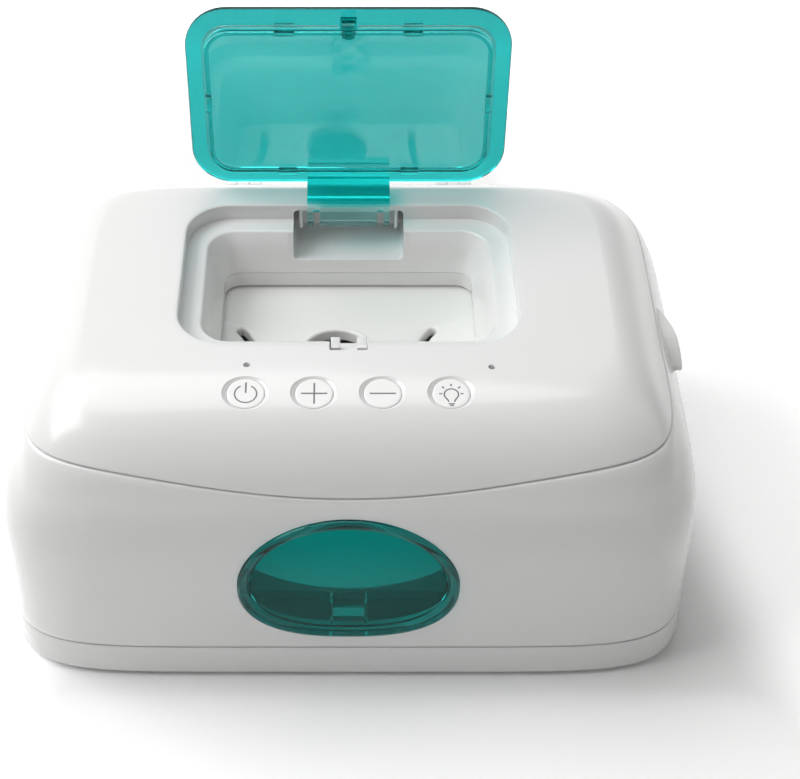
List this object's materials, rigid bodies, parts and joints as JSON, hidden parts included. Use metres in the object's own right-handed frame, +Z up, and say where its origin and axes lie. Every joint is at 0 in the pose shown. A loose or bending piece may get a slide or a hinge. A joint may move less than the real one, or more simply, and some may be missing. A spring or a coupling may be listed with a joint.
{
  "type": "baby wipe warmer",
  "caption": "Heated wipe bin in a rounded white shell, with a hinged top cover, a see-through teal flap standing open over the dispensing well, push buttons and a night-light window.",
  "frame": {"origin": "on the table under the middle of the body", "axes": "+Z up, -Y to the front with the window, +X to the side with the cover latch"},
  "size_m": [0.2526, 0.178, 0.1924],
  "materials": {
    "shell": "glossy injection-moulded white plastic",
    "button": "glossy white plastic with a grey printed symbol",
    "rubber": "matt grey rubber",
    "screw_steel": "zinc-plated steel",
    "spring_steel": "bright spring wire",
    "pin_steel": "ground steel pin",
    "teal_window": "deep teal see-through plastic",
    "teal_clear": "teal see-through plastic",
    "diffuser": "milky light-diffusing plastic",
    "circuit_board": "green solder mask",
    "led": "clear-domed diode",
    "bin": "smooth white polypropylene",
    "plate": "smooth warm-white plastic",
    "inner_frame": "unpainted light plastic",
    "heater_aluminium": "rolled sheet",
    "heater_film": "amber heating film",
    "insulation": "needled felt",
    "sensor_black": "moulded black",
    "inlet_black": "moulded black",
    "lead_sleeve": "flexible insulation",
    "seal": "soft pale silicone",
    "switch_black": "moulded black",
    "catch_white": "glossy white plastic"
  },
  "bodies": {
    "base": {"base_pan": "shell", "rubber_feet": "rubber", "base_screws": "screw_steel", "side_shell": "shell", "front_window": "teal_window", "light_diffuser": "diffuser", "night_light_board": "circuit_board", "light_screws": "screw_steel", "wipe_bin": "bin", "wipe_plate": "plate", "heater_tray": "inner_frame", "tray_screws": "screw_steel", "heater_plate": "heater_aluminium", "heater_mat": "heater_film", "insulation_pad": "insulation", "thermal_cutout": "sensor_black", "temperature_sensor": "sensor_black", "power_board": "circuit_board", "board_screws": "screw_steel", "dc_inlet": "inlet_black", "inlet_leads": "lead_sleeve", "heater_leads": "lead_sleeve", "latch_springs": "spring_steel", "cover_hinge_pins": "pin_steel"},
    "cover": {"top_cover": "shell", "opening_collar": "shell", "collar_seal": "seal", "control_board": "circuit_board", "tact_switches": "switch_black", "indicator_leds": "led", "light_pipes": "diffuser", "control_shield": "inner_frame", "control_screws": "screw_steel", "flap_hinge_pin": "pin_steel", "flap_springs": "spring_steel", "catch_spring": "spring_steel"},
    "flap": {"flap_shell": "teal_clear", "flap_panel": "teal_clear", "flap_seal": "seal", "flap_hook": "teal_clear"},
    "catch": {"flap_catch": "catch_white"},
    "power_key": {"power_button": "button"},
    "plus_key": {"plus_button": "button"},
    "minus_key": {"minus_button": "button"},
    "light_key": {"light_button": "button"},
    "latch": {"cover_latch": "shell"}
  },
  "joints": [
    {"name": "cover_hinge", "type": "hinge", "parent": "base", "child": "cover", "pos_m": [0, 0.07905, 0.099], "axis": [-1, 0, 0], "range_deg": [0, 100]},
    {"name": "flap_hinge", "type": "hinge", "parent": "cover", "child": "flap", "pos_m": [0, 0.0528, 0.1096], "axis": [-1, 0, 0], "range_deg": [-92, 0], "stiffness_Nm_per_rad": 0.012, "springref_deg": 17.19},
    {"name": "power_press", "type": "slide", "parent": "cover", "child": "power_key", "axis": [0, 0.2079, -0.9781], "range_m": [0, 0.0006], "stiffness_N_per_m": 300, "springref_m": -0.001},
    {"name": "plus_press", "type": "slide", "parent": "cover", "child": "plus_key", "axis": [0, 0.2079, -0.9781], "range_m": [0, 0.0006], "stiffness_N_per_m": 300, "springref_m": -0.001},
    {"name": "minus_press", "type": "slide", "parent": "cover", "child": "minus_key", "axis": [0, 0.2079, -0.9781], "range_m": [0, 0.0006], "stiffness_N_per_m": 300, "springref_m": -0.001},
    {"name": "light_press", "type": "slide", "parent": "cover", "child": "light_key", "axis": [0, 0.2079, -0.9781], "range_m": [0, 0.0006], "stiffness_N_per_m": 300, "springref_m": -0.001},
    {"name": "latch_press", "type": "slide", "parent": "base", "child": "latch", "axis": [-1, 0, 0], "range_m": [0, 0.0025], "stiffness_N_per_m": 250, "springref_m": -0.003, "deforming": ["latch_springs"]},
    {"name": "catch_press", "type": "slide", "parent": "cover", "child": "catch", "axis": [0, -1, 0], "range_m": [0, 0.002], "stiffness_N_per_m": 200, "springref_m": -0.002, "deforming": ["catch_spring"]}
  ]
}
